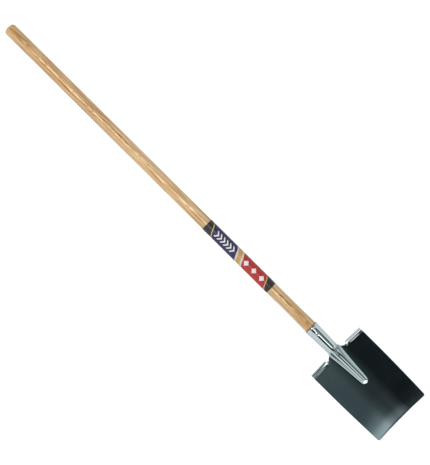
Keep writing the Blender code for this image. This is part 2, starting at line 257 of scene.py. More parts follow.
class RidgeSection:
    """Half a cross-section of the ridge: crown arc, straight flank and foot fillet."""

    def __init__(self, x):
        t = min(1.0, max(0.0, (x - SHOULDER_X) / (NOSE_X - SHOULDER_X)))
        self.crown = mix(CROWN_RADIUS, CROWN_NOSE_RADIUS, t)
        self.foot = mix(NOSE_HALF_WIDTH, RIDGE_HALF_WIDTH, (1 - t) ** RIDGE_NARROWING)
        self.centre = crown_height(x) - self.crown
        drop = SHEET - self.centre
        self.flank = math.asin(self.crown / math.hypot(self.foot, drop))
        self.flank -= math.atan2(drop, self.foot)
        self.crown_end = self.crown * math.sin(self.flank)
        self.outer = self.foot + FOOT_FILLET * math.tan(self.flank / 2)
        self.fillet_start = self.outer - FOOT_FILLET * math.sin(self.flank)

    def rise(self, y):
        """The height above the flat blade at a distance y from the middle."""
        if y <= self.crown_end:
            return self.centre + math.sqrt(self.crown**2 - y**2) - SHEET
        if y <= self.fillet_start:
            return (self.foot - y) * math.tan(self.flank)
        if y < self.outer:
            return FOOT_FILLET - math.sqrt(FOOT_FILLET**2 - (self.outer - y) ** 2)
        return 0.0

    def places(self):
        """Distances from the middle for the points, closer together on the bends."""
        places = []
        for i in range(CROWN_STEPS):
            places.append(self.crown * math.sin(self.flank * i / CROWN_STEPS))
        for i in range(FLANK_STEPS):
            places.append(mix(self.crown_end, self.fillet_start, i / FLANK_STEPS))
        for i in range(FILLET_STEPS + 1):
            a = self.flank * (1 - i / FILLET_STEPS)
            places.append(self.outer - FOOT_FILLET * math.sin(a))
        return places


def ridge_row(x):
    section = RidgeSection(min(x, NOSE_X))
    past_nose = max(0.0, x - NOSE_X)
    fall = CROWN_FALL - AXIS_RISE + SOCKET_TAPER / 2 / SOCKET_LENGTH
    # Round the nose the points soon stand evenly, as its section there has no flanks.
    evenness = min(1.0, 3 * past_nose / section.outer)
    row = []
    for i, place in enumerate(section.places()):
        y = mix(place, section.outer * i / STRIP_STEPS, evenness)
        rise = section.rise(math.hypot(past_nose, y))
        rise *= max(0.0, 1 - fall * past_nose / NOSE_HEIGHT)
        row.append(Vector((x, y, SHEET + rise)))
    return row


def socket_row(x):
    row = []
    into_bead = min(1.0, (x - MOUTH_X) / BEAD_LENGTH)
    radius = socket_radius(x) + BEAD_HEIGHT * math.sin(math.pi * into_bead)
    for i in range(STRIP_STEPS + 1):
        a = math.pi / 2 * i / STRIP_STEPS
        row.append(Vector((x, radius * math.sin(a), axis_height(x) + radius * math.cos(a))))
    return row


def front_row(x):
    """Half the head's middle strip: the socket's round, eased into the ridge's shape."""
    t = ease(SHOULDER_PACE * (x - NECK_X) / SHOULDER_LENGTH)
    if t == 0:
        return socket_row(x)
    return [a.lerp(b, t) for a, b in zip(socket_row(x), ridge_row(x))]


# %% [markdown]
# ### Rows of the loft
#
# Rows stand close together where the form turns, at the shoulder, the nose and the blade's
# corners, and far apart where it runs straight. At the top of the blade they go round a small
# notch, the relief beside each tread, without which the steel would tear as the tread is
# rolled. There the sheet also starts to bend forward, in a wide easy bend.

# %% Rows from the mouth to the cutting edge
def stations(first, last, steps):
    return [mix(first, last, i / steps) for i in range(1, steps + 1)]


EASY_RADIUS = 21 * MM
EASY_ANGLE = math.radians(45)
TURN_RADIUS = 4.5 * MM
EASY_LENGTH = EASY_RADIUS * math.sin(EASY_ANGLE)
FOLD_DEPTH = TURN_RADIUS * (1 - math.sin(EASY_ANGLE))
RELIEF = 5.5 * MM
RELIEF_WIDTH = 8 * MM
RELIEF_OVERLAP = 2 * MM
TREAD_INNER_Y = 39.5 * MM
TREAD_FADE = 9 * MM
FADE_STEPS = 3
NOSE_END_X = NOSE_X + RidgeSection(NOSE_X).outer
CORNER_X = EDGE_X - CORNER_RADIUS
BEAD_END_X = MOUTH_X + BEAD_LENGTH
SOCKET_ROWS = [MOUTH_X] + stations(MOUTH_X, BEAD_END_X, 4) + stations(BEAD_END_X, NECK_X, 3)
SHOULDER_ROWS = stations(NECK_X, SHOULDER_X, 8)
BLADE_ROWS = [SHOULDER_X] + stations(SHOULDER_X, SHOULDER_X + EASY_LENGTH, 5)
BLADE_ROWS += stations(BLADE_ROWS[-1], NOSE_X, 9) + stations(NOSE_X, NOSE_END_X, 8)
BLADE_ROWS += stations(NOSE_END_X, CORNER_X, 8)
BLADE_ROWS += [CORNER_X + CORNER_RADIUS * math.sin(math.pi / 2 * i / 5) for i in range(1, 6)]
FOOT_Y = ridge_row(SHOULDER_X)[-1].y
print(f"{len(SOCKET_ROWS + SHOULDER_ROWS + BLADE_ROWS)} rows")


def blade_half_width(x):
    """Half the blade's width: parallel sides, a taper towards the edge and a round corner."""
    taper = max(0.0, x - (EDGE_X - EDGE_TAPER_LENGTH)) / EDGE_TAPER_LENGTH
    half = (BLADE_WIDTH - (BLADE_WIDTH - EDGE_WIDTH) * taper**2) / 2
    into_corner = max(0.0, x - CORNER_X)
    return half - CORNER_RADIUS + math.sqrt(max(0.0, CORNER_RADIUS**2 - into_corner**2))


def setback(x, y):
    """How far the relief and the fold push the rows away from the shoulder."""
    nearness = max(0.0, 1 - (x - SHOULDER_X) / (NOSE_X - SHOULDER_X)) ** 2
    if y > TREAD_INNER_Y - 0.1 * MM:
        return nearness * FOLD_DEPTH
    run = TREAD_INNER_Y - RELIEF_WIDTH + RELIEF_OVERLAP - FOOT_Y
    return nearness * (FOLD_DEPTH + RELIEF) * ease((y - FOOT_Y) / run)


def easy_bend_rise(x, y):
    """How far the easy bend lifts the sheet, fading out in the relief."""
    run = min(EASY_LENGTH, max(0.0, SHOULDER_X + FOLD_DEPTH + EASY_LENGTH - x))
    nearness = ease((y - TREAD_INNER_Y) / RELIEF_WIDTH + 1)
    return nearness * (EASY_RADIUS - math.sqrt(EASY_RADIUS**2 - run**2))


def wing_row(x):
    """The blade from the ridge's foot to its side."""
    foot_y = ridge_row(x)[-1].y
    places = stations(foot_y, TREAD_INNER_Y - RELIEF_WIDTH, 2)
    places += stations(TREAD_INNER_Y - RELIEF_WIDTH, TREAD_INNER_Y, 4)
    places += stations(TREAD_INNER_Y, TREAD_INNER_Y + TREAD_FADE, FADE_STEPS)
    places += stations(TREAD_INNER_Y + TREAD_FADE, blade_half_width(x), 4)
    row = [Vector((x, foot_y, SHEET))]
    for y in places:
        along = x + setback(x, y)
        row.append(Vector((along, y, SHEET + easy_bend_rise(along, y))))
    return row


def place_of(point):
    """A place in hundredths of a millimetre, to find a point again by."""
    return tuple(round(value / MM, 2) for value in point)


def loft(name, row_of, places):
    """Draws a row at each place and bridges each to the one before it."""
    piece = new_drawing(name)
    for x in places:
        draw_row(row_of(x))
    leave_edit_mode()
    for a, b in zip(places, places[1:]):
        pair = {place_of(p) for p in row_of(a) + row_of(b)}
        choose_points(piece, lambda p: place_of(p) in pair)
        bpy.ops.mesh.bridge_edge_loops()
        leave_edit_mode()
    print(name, len(piece.data.vertices), "points", len(piece.data.polygons), "faces")
    return piece


strip = loft("strip", front_row, SOCKET_ROWS + SHOULDER_ROWS + BLADE_ROWS[1:])
wing = loft("wing", wing_row, BLADE_ROWS)

# %% [markdown]
# ### The socket's back
#
# The strip so far is the front half of the socket's round. The back half follows from one spin:
# the strip's side line is swept a quarter turn about the shaft's axis.

# %% Spinning the back of the socket
def on_socket_side(p):
    return p.x < NECK_X + NEAR and p.y > 0 and abs(p.z - axis_height(p.x)) < NEAR


choose_points(strip, on_socket_side)
axis = Vector((math.cos(AXIS_TILT), 0, math.sin(AXIS_TILT)))
bpy.ops.mesh.spin(
    steps=7, angle=math.pi / 2, axis=axis, center=(MOUTH_X, 0, axis_height(MOUTH_X))
)
leave_edit_mode()
print("lowest point of the socket", round(min(v.co.z for v in strip.data.vertices), 5))

# %% [markdown]
# ### The treads
#
# A boot would cut itself on a bare edge, so the blade's top is rolled forward where the foot
# goes. The easy bend is in the sheet already. From the fold on, the edge is spun upright and
# then over, and a short lip is pulled forward.

# %% Rolling the treads
ROLL_RADIUS = 3 * MM
TREAD_LIP = 3 * MM
LIP_ANGLE = math.radians(20)
TREAD_FLARE = 0.4 * MM
INNER_END_CUT = 0.4
FOLD_X = SHOULDER_X + FOLD_DEPTH
FOLD = Vector((FOLD_X, 0, SHEET + easy_bend_rise(FOLD_X, TREAD_INNER_Y)))
TURN_CENTRE = FOLD + TURN_RADIUS * Vector((math.sin(EASY_ANGLE), 0, math.cos(EASY_ANGLE)))
ROLL_CENTRE = TURN_CENTRE - Vector((TURN_RADIUS - ROLL_RADIUS, 0, 0))
choose_points(wing, lambda p: abs(p.x - FOLD.x) < 0.02 * MM and p.y > TREAD_INNER_Y - NEAR)
bpy.ops.mesh.spin(steps=4, angle=EASY_ANGLE - math.pi / 2, axis=(0, 1, 0), center=TURN_CENTRE)
bpy.ops.mesh.spin(steps=5, angle=LIP_ANGLE - math.pi / 2, axis=(0, 1, 0), center=ROLL_CENTRE)
forward = TREAD_LIP * Vector((math.cos(LIP_ANGLE), 0, math.sin(LIP_ANGLE)))
bpy.ops.mesh.extrude_region_move(TRANSFORM_OT_translate={"value": forward})
leave_edit_mode()

# %% [markdown]
# The press lets each roll run out softly towards its inner end: there the last few columns of
# points are drawn in towards the fold, the innermost one the most. The roll also opens a little
# to the side.

# %% Fading and flaring the treads
def is_rolled(p):
    return p.x < FOLD.x - 0.05 * MM or p.z > FOLD.z + 0.05 * MM


for i in range(FADE_STEPS):
    column = TREAD_INNER_Y + TREAD_FADE * i / FADE_STEPS
    choose_points(wing, lambda p: abs(p.y - column) < 0.1 * MM and is_rolled(p))
    size = 1 - INNER_END_CUT * (1 - i / FADE_STEPS) ** 2
    bpy.ops.transform.resize(value=(size, 1, size), center_override=FOLD)
    leave_edit_mode()
for above, share in ((FOLD.z, 0.5), (TURN_CENTRE.z, 0.5)):
    choose_points(wing, lambda p: p.z > above + 0.2 * MM)
    stretch = 1 + share * TREAD_FLARE / (BLADE_WIDTH / 2 - TREAD_INNER_Y)
    bpy.ops.transform.resize(value=(1, stretch, 1), center_override=(0, TREAD_INNER_Y, 0))
    leave_edit_mode()
rolled = [v.co for v in wing.data.vertices if v.co.z > FOLD.z]
print("treads from", round((min(p.x for p in rolled) - SHOULDER_X) / MM, 1), "mm")
print("treads", round((max(p.z for p in rolled) - SHEET) / MM, 1), "mm high")

# %% [markdown]
# ### Dishing the blade
#
# The sheet is still flat. A lattice, a cage of a few points round the mesh, bends it as a press
# does: where the cage's points are raised, the sheet follows in one even curve. Both wings rise
# from a flat strip down the middle, and the last third turns up towards the cutting edge.

# %% Joining the half and dishing it
activate(strip)
wing.select_set(True)
bpy.ops.object.join()
head = strip
head.name = "polished_head"
head.data.name = "polished_head"
merge_and_face_out(head)

CAGE_LOW = Vector((MOUTH_X - 60 * MM, -30 * MM, -20 * MM))
CAGE_HIGH = Vector((EDGE_X + 60 * MM, 140 * MM, 80 * MM))
CAGE_COUNT = (36, 18, 2)
deselect_all()
bpy.ops.object.add(type="LATTICE", location=(CAGE_LOW + CAGE_HIGH) / 2)
cage = bpy.context.object
cage.scale = CAGE_HIGH - CAGE_LOW
cage.data.points_u, cage.data.points_v, cage.data.points_w = CAGE_COUNT


def dish(x, y):
    """How far the press lifts the sheet at a place."""
    across = max(0.0, abs(y) - FLAT_STRIP_WIDTH / 2) / ((BLADE_WIDTH - FLAT_STRIP_WIDTH) / 2)
    along = max(0.0, x - (EDGE_X - LIP_LENGTH)) / LIP_LENGTH
    return DISH_DEPTH * across**2 + LIP_RISE * along**2


for point in cage.data.points:
    place = cage.location + Vector(a * b for a, b in zip(point.co, cage.scale))
    point.co_deform.z += dish(place.x, place.y) / cage.scale.z
bpy.context.view_layer.update()
add_modifier(head, "LATTICE", object=cage)
bpy.data.objects.remove(cage)
print("dished to", round(max(v.co.z for v in head.data.vertices if v.co.y > 0.09), 4))

# %% [markdown]
# ### The other half and the sheet's thickness
#
# The mirror adds the other half, Solidify gives the sheet its 2 mm towards the back, and a small
# bevel takes the sharpness off every cut edge, which is where polished steel shows a thin bright
# line. Two levels of subdivision then make the facets one flowing surface.

# %% Finishing the head
add_modifier(
    head, "MIRROR", use_axis=(False, True, False), use_clip=True, merge_threshold=0.02 * MM
)
merge_and_face_out(head)
add_modifier(head, "SOLIDIFY", thickness=SHEET, offset=-1, use_even_offset=True)
add_modifier(
    head, "BEVEL", width=0.5 * MM, segments=1, limit_method="ANGLE", angle_limit=math.radians(60)
)
add_modifier(head, "SUBSURF", levels=2, render_levels=2)
activate(head)
bpy.ops.object.shade_smooth()
print("head", len(head.data.polygons), "faces")
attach(head, "root")
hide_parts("head")

# %% [markdown]
# ## The shaft
#
# The real shaft is turned from one stick of ash: straight and round, with an easy edge at the
# butt, a slight swell where it enters the socket and a taper inside it. It could be a spun
# outline, but a cylinder with a few cuts is as true and easier to change: each cut makes a ring
# of points, and the rings are scaled.

# %% Turning the shaft
SHAFT_SIDES = 96
SWELL = 0.65 * MM
SWELL_LENGTH = 60 * MM
SWELL_CUTS = 8
BUTT_EDGE = 6.5 * MM
END_CHAMFER = 1.5 * MM
SMOOTH_ANGLE = math.radians(40)
GRIP_START = MOUTH_X - BUTT_X
END_RADIUS = socket_radius(BUTT_X + SHAFT_LENGTH) - SHEET - FIT


def put_on_shaft(piece):
    """Stands the piece, which was made upright from the butt, along the shaft's axis."""
    piece.location = (BUTT_X, 0, axis_height(BUTT_X))
    piece.rotation_euler = (0, math.pi / 2 - AXIS_TILT, 0)
    apply_place(piece)


deselect_all()
bpy.ops.mesh.primitive_cylinder_add(
    vertices=SHAFT_SIDES, radius=SHAFT_RADIUS, depth=SHAFT_LENGTH, location=(0, 0, SHAFT_LENGTH / 2)
)
shaft = bpy.context.object
shaft.name = "ash_shaft"
shaft.data.name = "ash_shaft"
apply_place(shaft)
rings = []
for i in range(SWELL_CUTS + 1):
    t = i / SWELL_CUTS
    rings.append((GRIP_START - SWELL_LENGTH * (1 - t), SHAFT_RADIUS + SWELL * ease(t)))
for height, radius in rings:
    choose_points(shaft, lambda p: True)
    bpy.ops.mesh.bisect(plane_co=(0, 0, height), plane_no=(0, 0, 1))
    leave_edit_mode()
for height, radius in rings + [(SHAFT_LENGTH, END_RADIUS)]:
    choose_points(shaft, lambda p: abs(p.z - height) < NEAR)
    grow = radius / SHAFT_RADIUS
    bpy.ops.transform.resize(value=(grow, grow, 1), center_override=(0, 0, height))
    leave_edit_mode()
for height, offset, segments in ((0, BUTT_EDGE, 8), (SHAFT_LENGTH, END_CHAMFER, 1)):
    choose_points(shaft, lambda p: abs(p.z - height) < NEAR)
    bpy.ops.mesh.bevel(offset=offset, segments=segments, affect="EDGES")
    leave_edit_mode()
put_on_shaft(shaft)
activate(shaft)
bpy.ops.object.shade_smooth_by_angle(angle=SMOOTH_ANGLE)
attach(shaft, "root")
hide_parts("shaft")
print("shaft", len(shaft.data.polygons), "faces")

# %% [markdown]
# ## The rivet
#
# One rivet goes through socket and shaft. Its head is a low dome on the front, and its other end
# is hammered flat behind. Both are round about one axis, so half an outline is drawn and spun
# through a full turn. The hole is then cut through head and shaft with a plain rod.

# %% Spinning the rivet and cutting its hole
RIVET_X = MOUTH_X + 22 * MM
RIVET_RADIUS = 2.5 * MM
RIVET_HEAD = (6.25 * MM, 3.0 * MM)
RIVET_CLENCH = (5.0 * MM, 1.6 * MM)
HEAD_SEAT = socket_radius(RIVET_X - RIVET_HEAD[0]) + FIT
CLENCH_SEAT = socket_radius(RIVET_X - RIVET_CLENCH[0]) + FIT


def dome(size, seat, first, last, steps=10):
    """Points on a quarter of an ellipse, from one angle to the other."""
    points = []
    for i in range(steps + 1):
        a = mix(first, last, i / steps)
        points.append(Vector((abs(size[0] * math.cos(a)), 0, seat + size[1] * math.sin(a))))
    return points


outline = dome(RIVET_HEAD, HEAD_SEAT, math.pi / 2, 0)
outline += [Vector((RIVET_RADIUS, 0, HEAD_SEAT)), Vector((RIVET_RADIUS, 0, -CLENCH_SEAT))]
outline += dome(RIVET_CLENCH, -CLENCH_SEAT, 0, -math.pi / 2)
rivet = new_drawing("domed_rivet")
draw_row(outline)
bpy.ops.mesh.select_all(action="SELECT")
bpy.ops.mesh.spin(steps=48, angle=2 * math.pi, axis=(0, 0, 1), center=(0, 0, 0))
leave_edit_mode()
merge_and_face_out(rivet)
rivet.location = (RIVET_X, 0, axis_height(RIVET_X))
rivet.rotation_euler = (0, -AXIS_TILT, 0)
apply_place(rivet)
activate(rivet)
bpy.ops.object.shade_smooth_by_angle(angle=SMOOTH_ANGLE)
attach(rivet, "root")
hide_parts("rivet")

deselect_all()
bpy.ops.mesh.primitive_cylinder_add(
    vertices=48,
    radius=RIVET_RADIUS + FIT,
    depth=4 * MOUTH_RADIUS,
    location=(RIVET_X, 0, axis_height(RIVET_X)),
    rotation=(0, -AXIS_TILT, 0),
)
rod = bpy.context.object
for piece in (shaft, head):
    add_modifier(piece, "BOOLEAN", object=rod, operation="DIFFERENCE", solver="EXACT")
bpy.data.objects.remove(rod)
print("rivet", len(rivet.data.polygons), "faces; head", len(head.data.polygons))

# %% [markdown]
# ## The wrap
#
# A printed film is wound once round the shaft, and its free edge laps over its start along the
# side. It is drawn as a short spiral, pulled out to its length and given its thickness. The film
# is thicker here than in life, so that its edge still shows.

# %% Winding the film
LABEL_LENGTH = 252 * MM
LABEL_TO_MOUTH = 157 * MM
LABEL_START = GRIP_START - LABEL_TO_MOUTH - LABEL_LENGTH
FILM = 0.2 * MM
FILM_GAP = 0.1 * MM
LAP_GAP = 0.05 * MM
LAP_ANGLE = math.radians(14)
LAP_SIDE = math.radians(100)
WRAP_STEPS = 120
spiral = []
for i in range(WRAP_STEPS + 1):
    turn = (2 * math.pi + LAP_ANGLE) * i / WRAP_STEPS
    lift = (FILM + LAP_GAP) * ease((turn - 2 * math.pi + LAP_ANGLE) / LAP_ANGLE)
    radius = SHAFT_RADIUS + FILM_GAP + lift
    a = turn + LAP_SIDE
    spiral.append(Vector((-radius * math.cos(a), -radius * math.sin(a), LABEL_START)))
label = new_drawing("film_wrap")
draw_row(spiral)
bpy.ops.mesh.select_all(action="SELECT")
bpy.ops.mesh.extrude_region_move(TRANSFORM_OT_translate={"value": (0, 0, LABEL_LENGTH)})
leave_edit_mode()
put_on_shaft(label)
merge_and_face_out(label)
add_modifier(label, "SOLIDIFY", thickness=FILM, offset=1, use_even_offset=True)
activate(label)
bpy.ops.object.shade_smooth_by_angle(angle=SMOOTH_ANGLE)
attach(label, "root")
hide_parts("label")
print("wrap", len(label.data.polygons), "faces")

# %% [markdown]
# ## Materials
#
# Each finish starts from what the real thing is made of. Colours are written as they look on a
# screen and turned to linear light by one function, and one function adds a node with its
# settings and links. The kinds of node that come up most have short names here.

# %% Colours and nodes
MATH = "ShaderNodeMath"
RANGE = "ShaderNodeMapRange"
MIX = "ShaderNodeMix"
RAMP = "ShaderNodeValToRGB"
NOISE = "ShaderNodeTexNoise"
PLACE = "ShaderNodeMapping"


def linear(code):
    """A screen colour such as #D2AE7E as linear RGBA."""
    channels = []
    for i in (1, 3, 5):
        value = int(code[i : i + 2], 16) / 255
        channels.append(value / 12.92 if value <= 0.04045 else ((value + 0.055) / 1.055) ** 2.4)
    return (*channels, 1.0)


def add(tree, kind, inputs=None, stops=(), **settings):
    """Adds a node with its settings, its links or values, and a ramp's stops, the ends first."""
    made = tree.nodes.new(kind)
    for name, value in settings.items():
        setattr(made, name, value)
    for socket, value in (inputs or {}).items():
        if isinstance(value, bpy.types.NodeSocket):
            tree.links.new(value, made.inputs[socket])
        else:
            made.inputs[socket].default_value = value
    for i, (place, colour) in enumerate(stops):
        elements = made.color_ramp.elements
        element = elements[i] if i < 2 else elements.new(place)
        element.position = place
        element.color = linear(colour) if isinstance(colour, str) else (colour, colour, colour, 1)
    return made


def new_finish(name, piece):
    """Gives the piece a new material and returns its nodes and its surface shader."""
    made = bpy.data.materials.new(name)
    made.use_nodes = True
    piece.data.materials.clear()
    piece.data.materials.append(made)
    return made.node_tree, made.node_tree.nodes["Principled BSDF"]


# %% [markdown]
# ### Polished steel
#
# The head is carbon steel, ground and buffed to a mirror. It has no colour of its own beyond a
# cool grey: the eye sees the room in it. Buffing leaves fine lines along the blade, which spread
# each reflection a little to the sides, and the polish is cloudy in places. The lines stand 3 mm
# apart here, coarser than life, so that they still show, and a cloud is about 40 mm wide.

# %% Steel
CLOUDS_PER_METRE = 26.0
BUFFING_PER_METRE = (6, 350, 350)
steel, shader = new_finish("buffed_carbon_steel", head)
shader.inputs["Base Color"].default_value = linear("#C3D2D4")
shader.inputs["Metallic"].default_value = 1.0
place = add(steel, "ShaderNodeTexCoord").outputs["Object"]
cloud = add(steel, NOISE, {"Vector": place, "Scale": CLOUDS_PER_METRE, "Detail": 2.0})
rough = add(
    steel,
    RANGE,
    {
        "Value": cloud.outputs["Fac"],
        "From Min": 0.3,
        "From Max": 0.7,
        "To Min": 0.05,
        "To Max": 0.09,
    },
)
steel.links.new(rough.outputs["Result"], shader.inputs["Roughness"])
along = add(steel, PLACE, {"Vector": place, "Scale": BUFFING_PER_METRE})
lines = add(steel, NOISE, {"Vector": along.outputs[0], "Scale": 1.0, "Detail": 2.0})
wave = add(steel, NOISE, {"Vector": place, "Scale": CLOUDS_PER_METRE, "Detail": 1.0})
bump = add(
    steel,
    "ShaderNodeBump",
    {"Height": lines.outputs["Fac"], "Strength": 0.1, "Distance": 0.004 * MM},
)
bump = add(
    steel,
    "ShaderNodeBump",
    {
        "Height": wave.outputs["Fac"],
        "Strength": 1.0,
        "Distance": 0.025 * MM,
        "Normal": bump.outputs["Normal"],
    },
)
steel.links.new(bump.outputs["Normal"], shader.inputs["Normal"])
print("steel", len(steel.nodes), "nodes")

# %% [markdown]
# ### Zinc-plated steel
#
# The rivet is plated: brighter than the head, with a fine mottling of zinc crystals, which are
# about 1 mm wide here, coarser than life.

# %% Zinc
CRYSTALS_PER_METRE = 900.0
zinc, shader = new_finish("zinc_plate", rivet)
place = add(zinc, "ShaderNodeTexCoord").outputs["Object"]
grains = add(zinc, NOISE, {"Vector": place, "Scale": CRYSTALS_PER_METRE, "Detail": 2.0})
mottled = ((0.35, "#A2A9AA"), (0.65, "#B8BEBF"))
tone = add(zinc, RAMP, {"Fac": grains.outputs["Fac"]}, stops=mottled)
zinc.links.new(tone.outputs["Color"], shader.inputs["Base Color"])
shader.inputs["Metallic"].default_value = 1.0
shader.inputs["Roughness"].default_value = 0.06
print("zinc", len(zinc.nodes), "nodes")

# %% [markdown]
# ### Varnished ash
#
# Ash shows its growth rings strongly: each year starts with a band of open pores, darker, and
# ends with dense pale wood. A tree's rings are nested tubes, and turning a round shaft from
# them gives straight lines at its sides and long flame shapes on its face. So the pattern is
# made as in the tree, rings about a centre that lies outside the shaft, and the shaft cuts
# through it. A slow noise lets the rings wander, as a tree does not grow quite round.

# %% Ash rings
RING_SPACING = 1.3 * MM
RING_WANDER = 8 * MM
WANDER_PER_METRE = (11.0, 30, 30)
TREE_CENTRE = (0, 6 * MM, 70 * MM)
TREE_TURN = (0, 0.004, 0.003)
ONE_YEAR = (
    (0.0, "#AE823F"),
    (1.0, "#BA9253"),
    (0.1, "#C19A5F"),
    (0.3, "#D6B888"),
    (0.75, "#E4CDA2"),
    (0.93, "#D9BC8D"),
)
ash, shader = new_finish("varnished_ash", shaft)
place = add(ash, "ShaderNodeTexCoord").outputs["Object"]
slow = add(ash, PLACE, {"Vector": place, "Scale": WANDER_PER_METRE})
wander = add(ash, NOISE, {"Vector": slow.outputs[0], "Scale": 1.0, "Detail": 1.0})
in_tree = add(ash, PLACE, {"Vector": place, "Location": TREE_CENTRE, "Rotation": TREE_TURN})
axes = add(ash, "ShaderNodeSeparateXYZ", {0: in_tree.outputs[0]})
flat = add(ash, "ShaderNodeCombineXYZ", {0: 0.0, 1: axes.outputs[1], 2: axes.outputs[2]})
distance = add(ash, "ShaderNodeVectorMath", {0: flat.outputs[0]}, operation="LENGTH")
shifted = {0: wander.outputs["Fac"], 1: RING_WANDER, 2: distance.outputs["Value"]}
shift = add(ash, MATH, shifted, operation="MULTIPLY_ADD")
years = add(ash, MATH, {0: shift.outputs[0], 1: RING_SPACING}, operation="DIVIDE")
year = add(ash, MATH, {0: years.outputs[0]}, operation="FRACT")
wood = add(ash, RAMP, {"Fac": year.outputs[0]}, stops=ONE_YEAR).outputs["Color"]

# %% [markdown]
# The pores run along the grain as fine dark fibres. They are 3 mm apart here, coarser than life,
# so that they still show, and broader streaks lie over them. Each darkens the wood that is there.

# %% Ash fibres and streaks
fibre_place = add(ash, PLACE, {"Vector": place, "Scale": (14, 300, 300)})
streak_place = add(ash, PLACE, {"Vector": place, "Scale": (6, 150, 150)})
fibres = add(ash, NOISE, {"Vector": fibre_place.outputs[0], "Scale": 1.0, "Detail": 4.0})
streaks = add(ash, NOISE, {"Vector": streak_place.outputs[0], "Scale": 1.0, "Detail": 2.0})
for pores, tones in (
    (fibres, ((0.36, "#CDB692"), (0.62, "#FFFFFF"), (0.5, "#F2EADD"))),
    (streaks, ((0.35, "#EAD4B4"), (0.6, "#FFFFFF"))),
):
    tone = add(ash, RAMP, {"Fac": pores.outputs["Fac"]}, stops=tones).outputs["Color"]
    darker = add(ash, MIX, {0: 1.0, 6: wood, 7: tone}, data_type="RGBA", blend_type="MULTIPLY")
    wood = darker.outputs[2]

# %% [markdown]
# Where the shaft enters the socket, a thin dark line is painted on the wood: a painted shadow of
# the gap under the socket's rim. The varnish is a glossy coat over the duller wood.

# %% The painted shadow at the mouth and the varnish
MOUTH_SHADOW_X = MOUTH_X - 1.4 * MM
MOUTH_SHADOW_HALF_WIDTH = 1.5 * MM
lengthways = add(ash, "ShaderNodeSeparateXYZ", {0: place}).outputs[0]
in_mouth_shadow = {0: lengthways, 1: MOUTH_SHADOW_X, 2: MOUTH_SHADOW_HALF_WIDTH}
line = add(ash, MATH, in_mouth_shadow, operation="COMPARE").outputs[0]
# Painted shadow: a dark brown band is coloured into the wood at the mouth, standing in for the
# shade of the gap under the socket's rim.
wood = add(ash, MIX, {0: line, 6: wood, 7: linear("#5A4A38")}, data_type="RGBA").outputs[2]
ash.links.new(wood, shader.inputs["Base Color"])
shader.inputs["Roughness"].default_value = 0.42
shader.inputs["Coat Weight"].default_value = 1.0
shader.inputs["Coat Roughness"].default_value = 0.1
pore_depth = {"Height": fibres.outputs["Fac"], "Strength": 0.15, "Distance": 0.05 * MM}
bump = add(ash, "ShaderNodeBump", pore_depth)
ash.links.new(bump.outputs["Normal"], shader.inputs["Normal"])
print("ash", len(ash.nodes), "nodes")

# %% [markdown]
# ### Printed film
#
# The wrap is a glossy plastic film, printed in flat colours: dark ends, a blue field and a red
# field, parted by a pale sash. Chevrons fill the one and diamonds the other. It is drawn in
# millimetres on the film: one measure runs along the shaft and the other round it from the
# middle of the front. The fields lean, so that they have slanted ends.

# %% Places on the film
FIELD_LEAN = 0.45
film, shader = new_finish("printed_film", label)
label_x = BUTT_X + LABEL_START
film_start = (-label_x, 0, -axis_height(label_x + LABEL_LENGTH / 2))
place = add(film, "ShaderNodeTexCoord").outputs["Object"]
from_start = add(film, PLACE, {"Vector": place, "Location": film_start})
axes = add(film, "ShaderNodeSeparateXYZ", {0: from_start.outputs[0]})
along = add(film, MATH, {0: axes.outputs[0], 1: 1 / MM}, operation="MULTIPLY").outputs[0]
turn = add(film, MATH, {0: axes.outputs[1], 1: axes.outputs[2]}, operation="ARCTAN2").outputs[0]
around = add(film, MATH, {0: turn, 1: SHAFT_RADIUS / MM}, operation="MULTIPLY").outputs[0]
off_middle = add(film, MATH, {0: around}, operation="ABSOLUTE").outputs[0]
leaning = {0: around, 1: FIELD_LEAN, 2: along}
leaning = add(film, MATH, leaning, operation="MULTIPLY_ADD").outputs[0]
share = add(film, MATH, {0: leaning, 1: LABEL_LENGTH / MM}, operation="DIVIDE").outputs[0]

# %% Fields
FIELDS = (
    (0.0, "#2B2829"),
    (0.085, "#C8A66A"),
    (0.095, "#28264E"),
    (0.455, "#C8C2BC"),
    (0.475, "#B9955C"),
    (0.535, "#C8C2BC"),
    (0.555, "#A82E2C"),
    (0.905, "#C8A66A"),
    (0.915, "#2B2829"),
)
ground = add(film, RAMP, {"Fac": share}, stops=FIELDS)
ground.color_ramp.interpolation = "CONSTANT"

# %% [markdown]
# Each row of motifs is cut into equal cells, and a motif is drawn round the middle of its cell.
# A chevron is a stripe whose place falls back with the distance from the middle of the front,
# and a diamond is what lies within a fixed sum of both distances.

# %% Chevrons and diamonds
CHEVRONS = {"start": 39.0, "cell": 12.0, "number": 6}
CHEVRON_SLANT = 0.8
CHEVRON_HALF_THICKNESS = 2.5
CHEVRON_HALF_WIDTH = 10.0
DIAMONDS = {"start": 139.0, "cell": 30.0, "number": 3}
DIAMOND_SLANT = 0.9
DIAMOND_HALF_LENGTH = 8.5
slanting = {0: off_middle, 1: CHEVRON_SLANT, 2: along}
slanting = add(film, MATH, slanting, operation="MULTIPLY_ADD").outputs[0]
off_centres = []
for place, row in ((slanting, CHEVRONS), (along, DIAMONDS)):
    end = row["start"] + row["cell"] * row["number"]
    row_limits = {"From Min": row["start"], "From Max": end, "To Max": row["number"]}
    cells = add(film, RANGE, {"Value": place, **row_limits}).outputs[0]
    part = add(film, MATH, {0: cells}, operation="FRACT").outputs[0]
    part = add(film, MATH, {0: part, 1: 0.5}, operation="SUBTRACT").outputs[0]
    part = add(film, MATH, {0: part}, operation="ABSOLUTE").outputs[0]
    part = add(film, MATH, {0: part, 1: row["cell"]}, operation="MULTIPLY").outputs[0]
    off_centres.append(part)
from_corner = {0: off_middle, 1: DIAMOND_SLANT, 2: off_centres[1]}
from_corner = add(film, MATH, from_corner, operation="MULTIPLY_ADD").outputs[0]
inside = []
